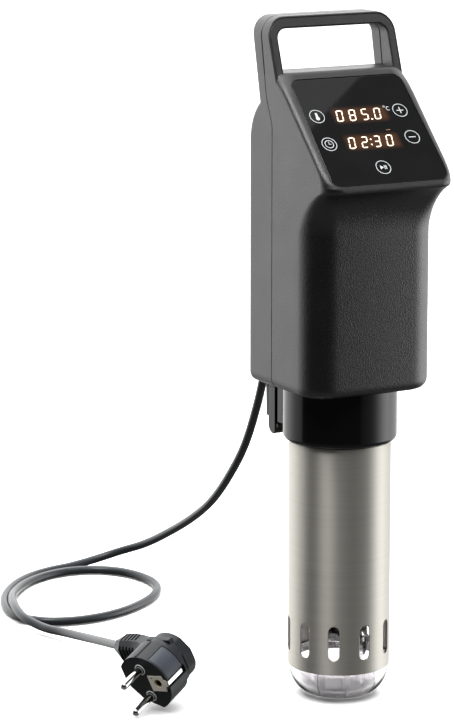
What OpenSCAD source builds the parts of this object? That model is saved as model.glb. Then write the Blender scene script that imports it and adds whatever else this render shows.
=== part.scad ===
// Sous vide circulator: a stirring immersion heater that clips to the wall of a pot.
// Millimetres, +Z up. Origin at the middle of the flat foot of the end cap, -Y is the display side.

/* [Immersion tube] */
// Outer radius of the steel sleeve
tube_r = 31; // [30.5:0.5:31.5]
// Sheet thickness of the sleeve
tube_wall = 0.8; // [0.6:0.1:1]
// Height of the sleeve's lower rim above the foot
rim_z = 19; // [18:0.5:19.5]
// Number of water slots around the sleeve
slot_count = 10; // [6:1:12]
// Width of one water slot
slot_w = 6.8; // [5:0.2:8]
// Length of one water slot
slot_l = 21.4; // [16:0.2:24]
// Height of the middle of the slots
slot_z = 38.4; // [37:0.2:41]

/* [Housing] */
// Half of the housing's width
half_w = 43.5; // [42:0.5:45]
// Underside of the housing
floor_z = 192; // [192:0.5:192.5]
// Distance from the tube's axis to the front face
front_y = 41.5; // [40:0.5:43]
// Distance from the tube's axis to the rear face
rear_y = 37; // [36.5:0.5:37.5]
// Radius of the two front upright edges
front_r = 18; // [16:1:19]
// Wall thickness of the housing
wall = 2.5; // [2:0.1:3]
// Top of the head, which is the floor of the hand hole
head_z = 381; // [380.5:0.5:382]
// Top of the handle
handle_z = 413; // [412:0.5:416]

/* [Drive] */
// Radius of the drive shaft
shaft_r = 3; // [2.5:0.5:3]
// Radial running clearance of the drive shaft in its bush
running = 0.05; // [0.02:0.01:0.1]
// Number of blades on the impeller
blade_count = 6; // [3:1:8]
// Radius of the impeller
impeller_r = 14; // [10:0.5:14.5]

/* [Clip] */
// Half of the width of the clip
clip_half_w = 21; // [18:0.5:22]
// Rear face of the fixed jaw
jaw_y = 37.5; // [37:0.1:38]
// Front face of the spring jaw at rest
lever_y = 42.3; // [42:0.1:43]

/* [Mains lead] */
// Diameter of the lead
cord_d = 5.6; // [5.4:0.1:6]
// Sides of the swept lead
cord_sides = 10; // [8:1:12]

/* [Hidden] */
$fn = 48;
steps = 6;
eps = 0.2;
tube_in = tube_r - tube_wall;

// Collar that joins the tube to the housing
collar_r = 34.5;
collar_z = 158.5;
collar_bore = tube_r + 0.3;
shelf_z = 180;
plate_z = 184;
plate_t = 2.5;
plate_r = 30;

// Display slope
slope_mid = [0, -30.5, 349.1];
slope_tilt = 45;
glass_low = -39.2;
glass_high = 39.6;
glass_half_low = 39.3;
glass_half_high = 37.3;
glass_r = 6;
glass_t = 2;
board_z = -12;
key_places = [[-29.5, 12], [-29.5, -8], [27, 12.5], [27, -7.5], [-1.5, -27.5]];
window = [70, 66];
digit_rows = [11.5, -8.5];

// Clip pivot
pivot = [0, 47, 187];
pin_r = 2;
knuckle_r = 5;
ear_in = 12;
ear_out = 16;

// Drive line
motor_z = 226;
stack_h = 20;
rotor_r = 12;
motor_shaft_r = 2.5;

// Heater
heater_r = 3.2;
heater_x = 19;
heater_y = 9;
heater_bend_z = 66;
heater_back_z = 150;

// Height at which the lead leaves the rear cover
gland_z = 262;

// Plug, laid on the surface
plug_place = [-123, 18, 18.2];
plug_turn = [-80, 22, -155];
plug_entry = [-37, 0, -50];

// The middle of the lead, from the strain relief to the plug
route = [
    [0, 62, 247], [3, 84, 218], [8, 106, 182], [13, 126, 153], [18, 151, 122], [23, 182, 94],
    [28, 215, 70], [31, 248, 51], [31, 281, 34], [27, 309, 20], [17, 329, 11], [2, 337, 5.4],
    [-16, 337.5, 2.8], [-35, 333.5, 2.8], [-54, 325.5, 2.8], [-73, 310, 2.8],
    [-89.5, 288.5, 2.8], [-100, 265.5, 2.8], [-104, 244, 2.8], [-100.5, 228, 2.8],
    [-89.5, 216, 2.8], [-70, 210.5, 2.8], [-47.5, 213, 2.8], [-25, 223, 2.8], [-4, 239, 2.8],
    [10, 259, 2.8], [14, 280, 2.8], [9, 303, 2.8], [-5, 319.5, 2.8], [-24, 325.5, 2.8],
    [-44, 322, 2.8], [-63.5, 310.5, 3], [-82, 289, 4.6], [-95.5, 264.5, 7.6], [-105.5, 238, 9],
    [-108.5, 217, 7.4], [-104, 198, 5], [-99, 177, 6.2], [-100, 146, 11], [-105, 110, 18],
    [-110, 79, 24]
];
rings_per_span = 2;

// ---------- helpers ----------

// One rounded corner as points, from angle a through a quarter turn
function corner(x, y, r, a) =
    [for (i = [0:steps]) [x + r * cos(a + 90 * i / steps), y + r * sin(a + 90 * i / steps)]];

// Plan outline of the housing: front and rear edges with their own corner radii
function plan(w, front, rear, rf, rr) = concat(
    corner(w - rr, rear - rr, rr, 0), corner(-w + rr, rear - rr, rr, 90),
    corner(-w + rf, front + rf, rf, 180), corner(w - rf, front + rf, rf, 270));

// A point on a circle, and a stretch of arc
function on_arc(c, r, a) = [c[0] + r * cos(a), c[1] + r * sin(a)];
function arc(c, r, a0, a1, n) = [for (i = [0:n]) on_arc(c, r, a0 + (a1 - a0) * i / n)];

module box(low, high) {
    translate(low) cube(high - low);
}

module rod(r, z0, z1) {
    translate([0, 0, z0]) cylinder(r = r, h = z1 - z0);
}

module ring(r_out, r_in, z0, z1) {
    translate([0, 0, z0])
        difference() {
            cylinder(r = r_out, h = z1 - z0);
            translate([0, 0, -1]) cylinder(r = r_in, h = z1 - z0 + 2);
        }
}

// A rod that lies along X or along Y
module rod_x(r, x0, x1) {
    translate([x0, 0, 0]) rotate([0, 90, 0]) cylinder(r = r, h = x1 - x0);
}

module rod_y(r, y0, y1) {
    translate([0, y0, 0]) rotate([-90, 0, 0]) cylinder(r = r, h = y1 - y0);
}

// Extrude an outline drawn in Y and Z across the whole width
module across(w) {
    rotate([90, 0, 90]) translate([0, 0, -w]) linear_extrude(2 * w) children();
}

// Extrude an outline drawn in X and Z along Y, from y0 to y1
module along(y0, y1) {
    translate([0, y1, 0]) rotate([90, 0, 0]) linear_extrude(y1 - y0) children();
}

// Put children on the display slope: x across, y up the slope, z outwards
module on_slope() {
    translate(slope_mid) rotate([slope_tilt, 0, 0]) children();
}

// The four corners of a rectangle
module at_corners(x, y) {
    for (sx = [-1, 1], sy = [-1, 1]) translate([sx * x, sy * y, 0]) children();
}

// ---------- housing ----------

// Levels of the skin: height, front, rear, front corner radius, rear corner radius, inset
chin_r = 30.7;
chin_mid = [-front_y - chin_r, 289];
shoulder_mid = [7, 338];
function chin_y(a) = on_arc(chin_mid, chin_r, a)[0];
function chin_z(a) = on_arc(chin_mid, chin_r, a)[1];
function slope_y(z) = z - 379.6;
function shoulder_y(z) = shoulder_mid[0] + sqrt(30 * 30 - pow(z - shoulder_mid[1], 2));

skin_low = [
    [floor_z, -front_y + 4, rear_y - 4, front_r - 4, 4, 4],
    [floor_z + 1.2, -front_y + 1.2, rear_y - 1.2, front_r - 1.2, 5, 1.2],
    [floor_z + 4, -front_y, rear_y, front_r, 5, 0]
];
skin_chin = [for (a = [0:12.4:62]) [chin_z(a), chin_y(a), rear_y, front_r - a / 9, 5, 0]];
skin_head = [
    [317.4, -59.2, rear_y, 11, 5, 0], [318.8, -59.5, rear_y, 11, 5, 0],
    [320.9, slope_y(320.9), rear_y, 10.5, 5, 0], [325, slope_y(325), rear_y, 5, 5, 0],
    [338, slope_y(338), rear_y, 4.7, 5, 0],
    for (z = [346:6:364]) [z, slope_y(z), shoulder_y(z), 4.7, 5, 0],
    [377, slope_y(377), 22, 4.7, 4, 0], [head_z - 0.8, 0.6, 21, 5, 4, 0.2],
    [head_z, 2.5, 19, 4, 4, 1.5]
];
skin = concat(skin_low, skin_chin, skin_head);

cavity = [
    [floor_z + wall, -front_y + wall, rear_y - wall, front_r - wall, 3, wall],
    for (a = [0:15:45]) [chin_z(a) + wall, chin_y(a) + wall, rear_y - wall,
        front_r - wall - a / 9, 3, wall],
    [318, -54, rear_y - wall, 8, 3, wall],
    [338, slope_y(338) + 7.5, rear_y - wall, 5, 3, wall],
    for (z = [346:6:358]) [z, slope_y(z) + 7.5, shoulder_y(z) - wall, 5, 3, wall],
    [364, slope_y(364) + 7.5, 19, 5, 3, wall],
    [head_z - 4, slope_y(head_z - 4) + 8.5, 19, 3, 3, wall]
];

module slice(s) {
    translate([0, 0, s[0]])
        linear_extrude(eps) polygon(plan(half_w - s[5], s[1], s[2], s[3], s[4]));
}

module loft(levels) {
    for (i = [0:len(levels) - 2]) hull() {
        slice(levels[i]);
        slice(levels[i + 1]);
    }
}

// Handle seen from the side: it leans back
handle_front = [[2.5, 376.5], [14.9, 412.2], [16.2, handle_z]];
handle_rear = [[29.8, handle_z], [31.8, 411], [32.3, 408], [23.3, 366], [20, 360], [8, 360]];

// Handle seen from the front: outer and inner outlines
function arch(w, z0, z1, r) = concat(
    [[-w, z0], [w, z0]], arc([w - r, z1 - r], r, 0, 90, steps),
    arc([r - w, z1 - r], r, 90, 180, steps));

module handle() {
    intersection() {
        along(-5, 40) difference() {
            polygon(arch(half_w, 360, handle_z, 12));
            polygon(arch(half_w - 6, head_z - 0.5, 405.8, 6));
        }
        across(half_w + 1) polygon(concat(handle_front, handle_rear));
    }
}

// Inlay on the front of the handle, sunk into it by its own thickness
trim_in = 1.2;
trim_z = 382;
module trim_shape(gap) {
    intersection() {
        along(-5, 40) difference() {
            polygon(arch(half_w - 1.1 + gap, trim_z - gap, handle_z - 1.1 + gap, 10.9));
            polygon(arch(half_w - 5.4 - gap, 380, 406.6 - gap, 6.6));
        }
        across(half_w) polygon([
            [2.4, 376.5], [14.8, 412.2], [16.1, handle_z],
            [16.1 + trim_in, handle_z], [14.8 + trim_in, 412.2], [2.4 + trim_in, 376.5]]);
    }
}

// The seam between the two halves, seen from the side
seam = [[7, 180], [7, 350], [14, 366], [22, 413], [23, 430]];
module front_side() {
    across(60) polygon(concat(seam, [[-80, 430], [-80, 180]]));
}

module rear_side() {
    across(60) polygon(concat(seam, [[60, 430], [60, 180]]));
}

module glass_outline(grow) {
    offset(r = glass_r + grow) polygon([
        [-glass_half_low + glass_r, glass_low + glass_r],
        [glass_half_low - glass_r, glass_low + glass_r],
        [glass_half_high - glass_r, glass_high - glass_r],
        [-glass_half_high + glass_r, glass_high - glass_r]]);
}

screw_places = [[36, 206], [36, 268], [36, 330]];
module at_screws() {
    for (p = screw_places, s = [-1, 1]) translate([s * p[0], 0, p[1]]) children();
}

module front_housing() {
    color("dimgray") union() {
        difference() {
            intersection() {
                union() {
                    loft(skin);
                    handle();
                }
                front_side();
            }
            loft(cavity);
            rod(collar_r + 0.2, floor_z - 1, floor_z + wall + 1);
            on_slope() {
                translate([0, 0, -3]) linear_extrude(5) glass_outline(0.15);
                translate([0, 0, -12]) linear_extrude(12) square(window, center = true);
            }
            trim_shape(0.1);
        }
        difference() {
            for (p = screw_places, s = [-1, 1]) translate([s * (half_w - 6.5), 0, p[1]])
                box([-5, -6, -4], [5, 7, 4]);
            at_screws() rod_y(1.3, -4, 8);
        }
    }
}

module rear_cover() {
    color("gray") difference() {
        union() {
            difference() {
                intersection() {
                    union() {
                        loft(skin);
                        handle();
                    }
                    rear_side();
                }
                loft(cavity);
                rod(collar_r + 0.2, floor_z - 1, floor_z + wall + 1);
                trim_shape(0.1);
            }
            at_screws() box([-4, 7, -4], [4, rear_y - 1, 4]);
        }
        at_screws() {
            rod_y(1.6, 5, 60);
            rod_y(3.2, 14, 60);
        }
        translate([0, 0, gland_z]) rod_y(6, 30, 40);
    }
}

module handle_trim() {
    color("black") trim_shape(0);
}

module housing_screws() {
    color("silver") at_screws() {
        rod_y(1.3, -3, 11);
        rod_y(1.5, 11, 14);
        rod_y(2.8, 14, 16);
    }
}

// ---------- display ----------

module display_glass() {
    color("black") on_slope()
        translate([0, 0, -0.2 - glass_t]) linear_extrude(glass_t) glass_outline(0);
}

module display_gasket() {
    color("darkslategray") on_slope()
        translate([0, 0, -3]) linear_extrude(0.8) difference() {
            glass_outline(-0.5);
            square(window, center = true);
        }
}

module display_board() {
    color("darkgreen") on_slope() difference() {
        translate([-33, -32, board_z]) cube([66, 64, 1.6]);
        translate([0, 0, board_z - 1]) at_corners(28, 29) cylinder(r = 1.2, h = 4);
    }
}

module digit_block(y) {
    on_slope() translate([-20, y - 6.5, board_z + 1.6]) cube([38, 13, 7.2]);
}

module temperature_display() {
    color("orange") digit_block(digit_rows[0]);
}

module time_display() {
    color("orange") digit_block(digit_rows[1]);
}

module touch_springs() {
    color("silver") on_slope() for (p = key_places)
        translate([p[0], p[1], 0]) ring(3.2, 2.4, board_z + 1.6, -3.1);
}

module buzzer() {
    color("black") on_slope() translate([14, 20, board_z - 6.5]) difference() {
        cylinder(r = 6, h = 6.5);
        translate([0, 0, -1]) cylinder(r = 1, h = 3);
    }
}

// ---------- power electronics ----------

board_y = 30;
module main_board() {
    color("darkgreen") difference() {
        box([-31, board_y, 272], [31, board_y + 1.6, 344]);
        for (s = [-1, 1], z = [277, 339])
            translate([s * 27, 0, z]) rod_y(1.6, board_y - 1, board_y + 3);
    }
}

module relay() {
    color("royalblue") box([-29, board_y - 15.5, 296], [-10, board_y, 311.5]);
}

module filter_capacitor() {
    color("gold") box([-29, board_y - 14, 316], [-11, board_y, 325]);
}

module heatsink() {
    color("silver") union() {
        box([-6, board_y - 4, 292], [30, board_y - 2, 336]);
        for (x = [-6:5:29]) box([x, board_y - 14, 292], [x + 1.5, board_y - 4, 336]);
    }
}

module triac() {
    color("black") box([4, board_y - 2, 305], [14.5, board_y, 320]);
}

module terminal_block() {
    color("seagreen") difference() {
        box([-18, board_y - 12, 283], [18, board_y, 291]);
        for (x = [-12:8:12]) translate([x, board_y - 6, 0]) rod(2, 285, 292);
    }
}

// ---------- motor and drive line ----------

stack_top = motor_z + stack_h;

module motor_stator() {
    color("slategray") difference() {
        box([-24, -20, motor_z], [24, 28, stack_top]);
        rod(rotor_r + 0.4, motor_z - 1, stack_top + 1);
        for (s = [-1, 1]) translate([s * 14, 20.5, motor_z - 1])
            translate([-6, -4.5, 0]) cube([12, 9, stack_h + 2]);
        at_motor_screws() rod(1.7, motor_z - 1, stack_top + 1);
    }
}

module at_motor_screws() {
    for (s = [-1, 1]) translate([s * 20, -15.7, 0]) children();
}

module motor_coil() {
    color("firebrick") difference() {
        box([-19.5, 16.2, motor_z - 9], [19.5, 24.8, stack_top + 9]);
        box([-8, 10, motor_z], [8, 30, stack_top]);
    }
}

module motor_bracket(z) {
    difference() {
        union() {
            box([-24, -20, z], [24, 15, z + 2]);
            rod(7.5, z - 2, z + 4);
        }
        rod(5.5, z - 3, z + 5);
        at_motor_screws() rod(1.7, z - 1, z + 3);
        for (s = [-1, 1]) translate([s * 16, 0, 0]) rod(3, z - 1, z + 3);
    }
}

module motor_brackets() {
    color("lightgray") {
        motor_bracket(motor_z - 6);
        motor_bracket(stack_top + 4);
        at_motor_screws() {
            ring(3, 1.7, motor_z - 4, motor_z);
            ring(3, 1.7, stack_top, stack_top + 4);
        }
    }
}

module motor_bearings() {
    color("goldenrod") for (z = [motor_z - 6, stack_top + 4])
        ring(5.5, motor_shaft_r + running, z - 2, z + 4);
}

module motor_screws() {
    color("silver") at_motor_screws() {
        rod(1.6, motor_z - 8, stack_top + 6);
        rod(2.9, stack_top + 6, stack_top + 7.6);
    }
}

module rotor() {
    color("silver") difference() {
        rod(rotor_r, motor_z - 1, stack_top + 1);
        rod(motor_shaft_r, motor_z - 2, stack_top + 2);
    }
}

module motor_shaft() {
    color("white") rod(motor_shaft_r, 206, 283);
}

module cooling_fan() {
    color("white") difference() {
        union() {
            rod(7, 270, 281);
            for (i = [0:6]) rotate([0, 0, i * 360 / 7])
                translate([5, 0, 275.5]) rotate([35, 0, 0]) translate([0, -0.8, -5.5]) cube([19, 1.6, 11]);
        }
        rod(motor_shaft_r, 260, 290);
    }
}

module shaft_coupling() {
    color("black") difference() {
        rod(6.5, 196, 214);
        rod(shaft_r, 195, 205);
        rod(motor_shaft_r, 204, 215);
    }
}

module drive_shaft() {
    color("silver") union() {
        rod(shaft_r, 38.5, 205);
        rod(2, 28, 39);
    }
}

module impeller() {
    color("ivory") difference() {
        union() {
            rod(6, 38, 47);
            rod(impeller_r, 45.6, 47);
            for (i = [0:blade_count - 1]) rotate([0, 0, i * 360 / blade_count])
                translate([0, -0.7, 39]) cube([impeller_r, 1.4, 7]);
        }
        rod(shaft_r, 38.5, 48);
        rod(2, 30, 39);
    }
}

module impeller_nut() {
    color("silver") difference() {
        union() {
            translate([0, 0, 34]) cylinder(r = 4, h = 4, $fn = 6);
            rod(3.2, 30, 34);
        }
        rod(2, 28, 40);
    }
}

module shaft_tube() {
    color("silver") ring(5.6, 4.6, 54, plate_z);
}

module lower_bush() {
    color("white") difference() {
        union() {
            rod(4.6, 54, 64);
            rod(5.6, 52, 54);
        }
        rod(shaft_r + running, 51, 65);
    }
}

module shaft_seal() {
    color("black") ring(6.5, shaft_r + 0.1, plate_z + plate_t, plate_z + plate_t + 6);
}

// ---------- heater and probes ----------

leg_places = [[-heater_x, -heater_y], [heater_x, -heater_y]];
probe_place = [0, -19];
level_places = [[-7, 21], [7, 21]];

module base_plate() {
    color("silver") difference() {
        rod(plate_r, plate_z, plate_z + plate_t);
        rod(shaft_r + 1, plate_z - 1, plate_z + 5);
        for (p = leg_places) translate([p[0], p[1], 0]) rod(heater_r, plate_z - 1, plate_z + 5);
        translate([probe_place[0], probe_place[1], 0]) rod(2.5, plate_z - 1, plate_z + 5);
        for (p = level_places) translate([p[0], p[1], 0]) rod(1.8, plate_z - 1, plate_z + 5);
    }
}

module base_gasket() {
    color("gray") ring(plate_r, 27, shelf_z + 2.4, plate_z);
}

// A half turn of the heater tube, standing on edge and open upwards or downwards
module half_turn(radius) {
    rotate([90, 0, 0]) rotate_extrude(angle = 180) translate([radius, 0]) circle(r = heater_r);
}

module heating_element() {
    color("lightsteelblue") union() {
        for (s = [-1, 1]) {
            translate([s * heater_x, -heater_y, 0]) rod(heater_r, heater_bend_z, plate_z + 8);
            translate([s * heater_x, heater_y, 0]) rod(heater_r, heater_bend_z, heater_back_z);
            translate([s * heater_x, 0, heater_bend_z])
                rotate([180, 0, 90]) half_turn(heater_y);
        }
        translate([0, heater_y, heater_back_z]) half_turn(heater_x);
    }
}

module heater_terminals() {
    color("gold") for (p = leg_places) translate([p[0], p[1], 0]) {
        rod(1.5, plate_z + 8, plate_z + 12);
        box([-3.2, -0.4, plate_z + 12], [3.2, 0.4, plate_z + 20]);
    }
}

module temperature_probe() {
    color("silver") translate([probe_place[0], probe_place[1], 0]) union() {
        rod(2.5, 70, plate_z + 5);
        translate([0, 0, 70]) sphere(r = 2.5);
    }
}

module level_probes() {
    color("silver") for (i = [0, 1]) translate([level_places[i][0], level_places[i][1], 0])
        rod(1.8, 84 + 24 * i, plate_z + 6);
}

// ---------- collar and clip ----------

collar_top = floor_z + wall + 2.5;

module collar() {
    color("black") difference() {
        union() {
            rod(collar_r, collar_z + 4, collar_top);
            translate([0, 0, collar_z]) cylinder(r1 = collar_r - 2.5, r2 = collar_r, h = 4);
            translate([0, 0, floor_z + wall])
                linear_extrude(collar_top - floor_z - wall) polygon(plan(38, -34, 32, 14, 3));
            box([-clip_half_w, 20, collar_z + 5], [clip_half_w, jaw_y, floor_z - 0.5]);
            for (s = [-1, 1]) clip_ear(s);
        }
        rod(collar_bore, collar_z - 1, shelf_z - 1);
        rod(27, collar_z - 1, collar_top + 1);
        rod(plate_r, shelf_z + 2.4, collar_top + 1);
        box([-17, jaw_y - 0.8, 164], [17, jaw_y + 1, 180]);
        at_pivot() rod_x(pin_r, -20, 20);
        at_collar_screws() rod(1.7, floor_z + 1, collar_top + 1);
    }
}

module at_pivot() {
    translate([0, pivot[1], pivot[2]]) children();
}

module clip_ear(s) {
    translate([s * (ear_in + ear_out) / 2, 0, 0]) union() {
        at_pivot() rod_x(4.2, -(ear_out - ear_in) / 2, (ear_out - ear_in) / 2);
        box([-(ear_out - ear_in) / 2, 30, 182.8], [(ear_out - ear_in) / 2, pivot[1], 191.2]);
    }
}

module at_collar_screws() {
    for (s = [-1, 1], p = [[32, -26], [34, 27]]) translate([s * p[0], p[1], 0]) children();
}

module collar_screws() {
    color("silver") at_collar_screws() {
        rod(1.5, floor_z + 1.2, collar_top);
        rod(3, collar_top, collar_top + 1.8);
    }
}

module fixed_jaw_pad() {
    color("dimgray") box([-17, jaw_y - 0.8, 164], [17, jaw_y + 0.2, 180]);
}

// Side view of the spring jaw: a thin blade with a hooked tip under a thick root
jaw_blade = [
    [lever_y, 180], [lever_y, 165.5], [40.5, 162.2], [39.1, 161.4], [39.6, 159.4],
    [43, 160], [45.4, 163], [46, 168], [46, 180]
];
jaw_root = concat([[44.3, 196], [44.3, 171]], arc([50, 173], 3, 300, 360, 4), [[53, 192], [52, 196]]);
thumb_plate = [[44.5, 190], [44.5, 196], [57, 240], [60, 240.5], [49.5, 196], [51.5, 190]];

module clip_lever() {
    color("dimgray") difference() {
        union() {
            across(clip_half_w) polygon(jaw_blade);
            across(clip_half_w) polygon(jaw_root);
            across(clip_half_w) polygon(thumb_plate);
            at_pivot() rod_x(knuckle_r, -clip_half_w, clip_half_w);
        }
        at_pivot() rod_x(pin_r + 0.05, -clip_half_w - 1, clip_half_w + 1);
        for (s = [-1, 1]) translate([s * (ear_in + ear_out) / 2, 0, 0])
            box([-2.3, 30, 177], [2.3, 60, 197]);
        box([-7, 38, 178], [7, 51, 195]);
        box([-17, lever_y - 1, 165.5], [17, lever_y + 0.7, 180]);
    }
}

module clip_jaw_pad() {
    color("black") box([-17, lever_y - 0.2, 166], [17, lever_y + 0.7, 179.5]);
}

module clip_pin() {
    color("silver") at_pivot() rod_x(pin_r, -20, 20);
}

module clip_spring() {
    color("silver") at_pivot() union() {
        for (i = [-3:3]) translate([i * 1.3, 0, 0]) rotate([0, 90, 0])
            rotate_extrude() translate([3.2, 0]) circle(r = 0.7);
        translate([-3.9, -3.2, 0]) rotate([0, 180, 0]) rod(0.7, 0, 6);
    }
}

// ---------- sleeve and cap ----------

module steel_sleeve() {
    color("silver") difference() {
        union() {
            rod(tube_r, rim_z, collar_z - 0.1);
            rod(tube_r - 0.4, collar_z - 1, shelf_z - 1.5);
        }
        rod(tube_in, rim_z - 1, shelf_z);
        for (i = [0:slot_count - 1]) rotate([0, 0, -90 + i * 360 / slot_count])
            translate([tube_in - 3, 0, slot_z]) slot_cut();
    }
}

module slot_cut() {
    half = (slot_l - slot_w) / 2;
    for (s = [-1, 1]) translate([0, 0, s * half]) rod_x(slot_w / 2, 0, 8);
    translate([0, -slot_w / 2, -half]) cube([8, slot_w, 2 * half]);
}

module sleeve_ring() {
    color("dimgray") ring(tube_in, 27.6, 166, shelf_z - 1.5);
}

foot_r = 14.4;
dome_out = concat(
    [[0, 0]], [for (a = [90:-9:0]) [14.5 + 16 * cos(a), (rim_z - 0.2) * (1 - sin(a))]]);
dome_in = concat(
    [[0, 2.4]], [for (a = [90:-9:0]) [12.5 + 15.7 * cos(a), 2.4 + (rim_z - 2.2) * (1 - sin(a))]]);

module end_cap() {
    color("whitesmoke") union() {
        difference() {
            rotate_extrude() polygon(concat(dome_out, [[30.5, rim_z - 0.2], [0, rim_z - 0.2]]));
            rotate_extrude() polygon(concat(dome_in, [[28.2, 30], [0, 30]]));
            rod(foot_r, -1, 4);
        }
        difference() {
            rod(tube_in - 0.2, rim_z - 0.3, 25.5);
            rod(28.2, rim_z - 1, 27);
        }
    }
}

// Flat foot that closes the middle of the cap
module foot_disc() {
    color("whitesmoke") rod(foot_r, 0, 3.6);
}

module inner_cup() {
    color("whitesmoke") ring(17, 15.2, 3.2, 36.5);
}

// ---------- mains lead ----------

module strain_relief() {
    color("black") union() {
        translate([0, 0, gland_z]) rod_y(5.8, 31, 38);
        translate([0, 0, gland_z]) rod_y(8, 37, 39);
        hull() {
            translate([0, 0, gland_z]) rod_y(6.5, 38, 39);
            translate(route[0]) rotate([-138, 0, 0]) cylinder(r = 4, h = 0.5, $fn = 32);
        }
    }
}

module cord_clamp() {
    color("white") difference() {
        translate([0, 0, gland_z]) box([-14, 24, -4], [14, rear_y - wall, 4]);
        translate([0, 0, gland_z]) rod_y(6.2, 30.5, 40);
        translate([0, 0, gland_z]) rod_y(3.2, 20, 34);
        for (s = [-1, 1]) translate([s * 10, 0, gland_z]) rod_y(1.6, 20, 31);
    }
}

// Points between the route's own, on a smooth curve through all of them
function blend4(p, q, r, s, t) = 0.5 * (2 * q + (r - p) * t + (2 * p - 5 * q + 4 * r - s) * t * t
    + (3 * q - p - 3 * r + s) * t * t * t);
function at(i) = i < 0 ? 2 * route[0] - route[1]
    : i >= len(route) ? 2 * route[len(route) - 1] - route[len(route) - 2] : route[i];
path = concat([for (i = [0:len(route) - 2], k = [0:rings_per_span - 1])
    blend4(at(i - 1), at(i), at(i + 1), at(i + 2), k / rings_per_span)],
    [route[len(route) - 1]]);

function unit(v) = v / norm(v);
function heading(i) = unit(path[min(i + 1, len(path) - 1)] - path[max(i - 1, 0)]);
function side(i) = unit(cross(heading(i), [0.28, 0.1, 0.95]));
function ring_points(i) = [for (k = [0:cord_sides - 1])
    let (a = 360 * (k + 0.5) / cord_sides, u = side(i), v = cross(u, heading(i)))
    path[i] + cord_d / 2 * (cos(a) * u + sin(a) * v)];

module mains_cord() {
    n = cord_sides;
    last = len(path) - 1;
    color("dimgray") polyhedron(
        points = [for (i = [0:last], p = ring_points(i)) [p[0], p[1], max(p[2], 0)]],
        faces = concat(
            [[for (k = [0:n - 1]) k]],
            [for (i = [0:last - 1], k = [0:n - 1])
                [i * n + k, (i + 1) * n + k, (i + 1) * n + (k + 1) % n, i * n + (k + 1) % n]],
            [[for (k = [n - 1:-1:0]) last * n + k]]));
}

// ---------- plug ----------
// In the plug's own frame the pins point along +X, one above the other in Y, and the lead
// leaves along -Z.

module at_plug() {
    translate(plug_place) rotate(plug_turn) children();
}

module plug_disc() {
    intersection() {
        rod_x(18.6, -22, 0);
        box([-23, -18.6, -17], [1, 18.6, 17.5]);
    }
}

module plug_body() {
    color("darkslategray") at_plug() difference() {
        union() {
            plug_disc();
            hull() {
                box([-34, -12, -14], [-20, 12, 12]);
                box([-31, -15, -12], [-21, 15, 10]);
            }
            hull() {
                box([-36, -8, -16], [-12, 8, -10]);
                box([-40, -6.5, -34], [-24, 6.5, -30]);
            }
            hull() {
                box([-40, -6.5, -34], [-24, 6.5, -32]);
                translate([plug_entry[0], 0, plug_entry[2]]) cylinder(r = 4.2, h = 2, $fn = 32);
            }
        }
        for (s = [-1, 1]) translate([0, s * 9.5, 0]) rod_x(2.4, -12, 1);
        translate([0, 0, 10]) rod_x(2.6, -19, 1);
        for (s = [-1, 1]) translate([0, 0, s * 19]) box([-17, -5, -3], [1, 5, 3]);
    }
}

module plug_pins() {
    color("silver") at_plug() for (s = [-1, 1]) translate([0, s * 9.5, 0]) union() {
        rod_x(2.4, -12, 16.6);
        translate([16.6, 0, 0]) sphere(r = 2.4);
    }
}

module plug_earth_clips() {
    color("silver") at_plug() for (s = [-1, 1])
        translate([0, 0, s * 16]) box([-16, -2.2, -0.5 + s * 0.5], [-1, 2.2, 0.5 + s * 0.5]);
}

module plug_earth_socket() {
    color("gold") at_plug() translate([0, 0, 10]) difference() {
        rod_x(2.6, -18, -0.5);
        rod_x(2.1, -17, 1);
    }
}

front_housing();
rear_cover();
handle_trim();
display_glass();
display_gasket();
display_board();
temperature_display();
time_display();
touch_springs();
buzzer();
main_board();
relay();
filter_capacitor();
heatsink();
triac();
terminal_block();
motor_stator();
motor_coil();
motor_brackets();
motor_bearings();
motor_screws();
rotor();
motor_shaft();
cooling_fan();
shaft_coupling();
drive_shaft();
impeller();
impeller_nut();
shaft_tube();
lower_bush();
shaft_seal();
base_plate();
base_gasket();
heating_element();
heater_terminals();
temperature_probe();
level_probes();
collar();
collar_screws();
fixed_jaw_pad();
clip_lever();
clip_jaw_pad();
clip_pin();
clip_spring();
steel_sleeve();
sleeve_ring();
end_cap();
foot_disc();
inner_cup();
housing_screws();
strain_relief();
cord_clamp();
mains_cord();
plug_body();
plug_pins();
plug_earth_clips();
plug_earth_socket();
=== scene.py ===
# Looks of the sous vide circulator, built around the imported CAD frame.
# Shapes are written in millimetres and scaled to metres as each mesh is made.

from math import asin, atan2, copysign, cos, degrees, dist, pi, radians, sin, sqrt, tan

import bmesh
import bpy
import numpy as np
from mathutils import Matrix, Quaternion, Vector


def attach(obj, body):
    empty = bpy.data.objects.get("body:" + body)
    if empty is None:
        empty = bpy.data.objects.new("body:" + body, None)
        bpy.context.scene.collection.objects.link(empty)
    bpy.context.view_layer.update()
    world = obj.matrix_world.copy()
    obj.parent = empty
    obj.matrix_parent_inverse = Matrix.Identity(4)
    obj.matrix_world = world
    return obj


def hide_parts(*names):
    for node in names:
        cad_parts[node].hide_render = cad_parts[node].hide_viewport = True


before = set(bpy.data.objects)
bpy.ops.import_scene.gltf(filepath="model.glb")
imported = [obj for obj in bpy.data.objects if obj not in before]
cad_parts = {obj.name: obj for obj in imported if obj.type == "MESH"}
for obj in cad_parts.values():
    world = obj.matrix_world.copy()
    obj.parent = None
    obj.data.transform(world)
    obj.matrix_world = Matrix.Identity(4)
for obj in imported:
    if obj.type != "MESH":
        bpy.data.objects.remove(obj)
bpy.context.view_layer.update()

MM = .001
scene = bpy.context.scene
scene.view_settings.view_transform = "Standard"


def place(name, data):
    obj = bpy.data.objects.new(name, data)
    scene.collection.objects.link(obj)
    return obj


# ---------- camera and lead ----------

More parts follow.
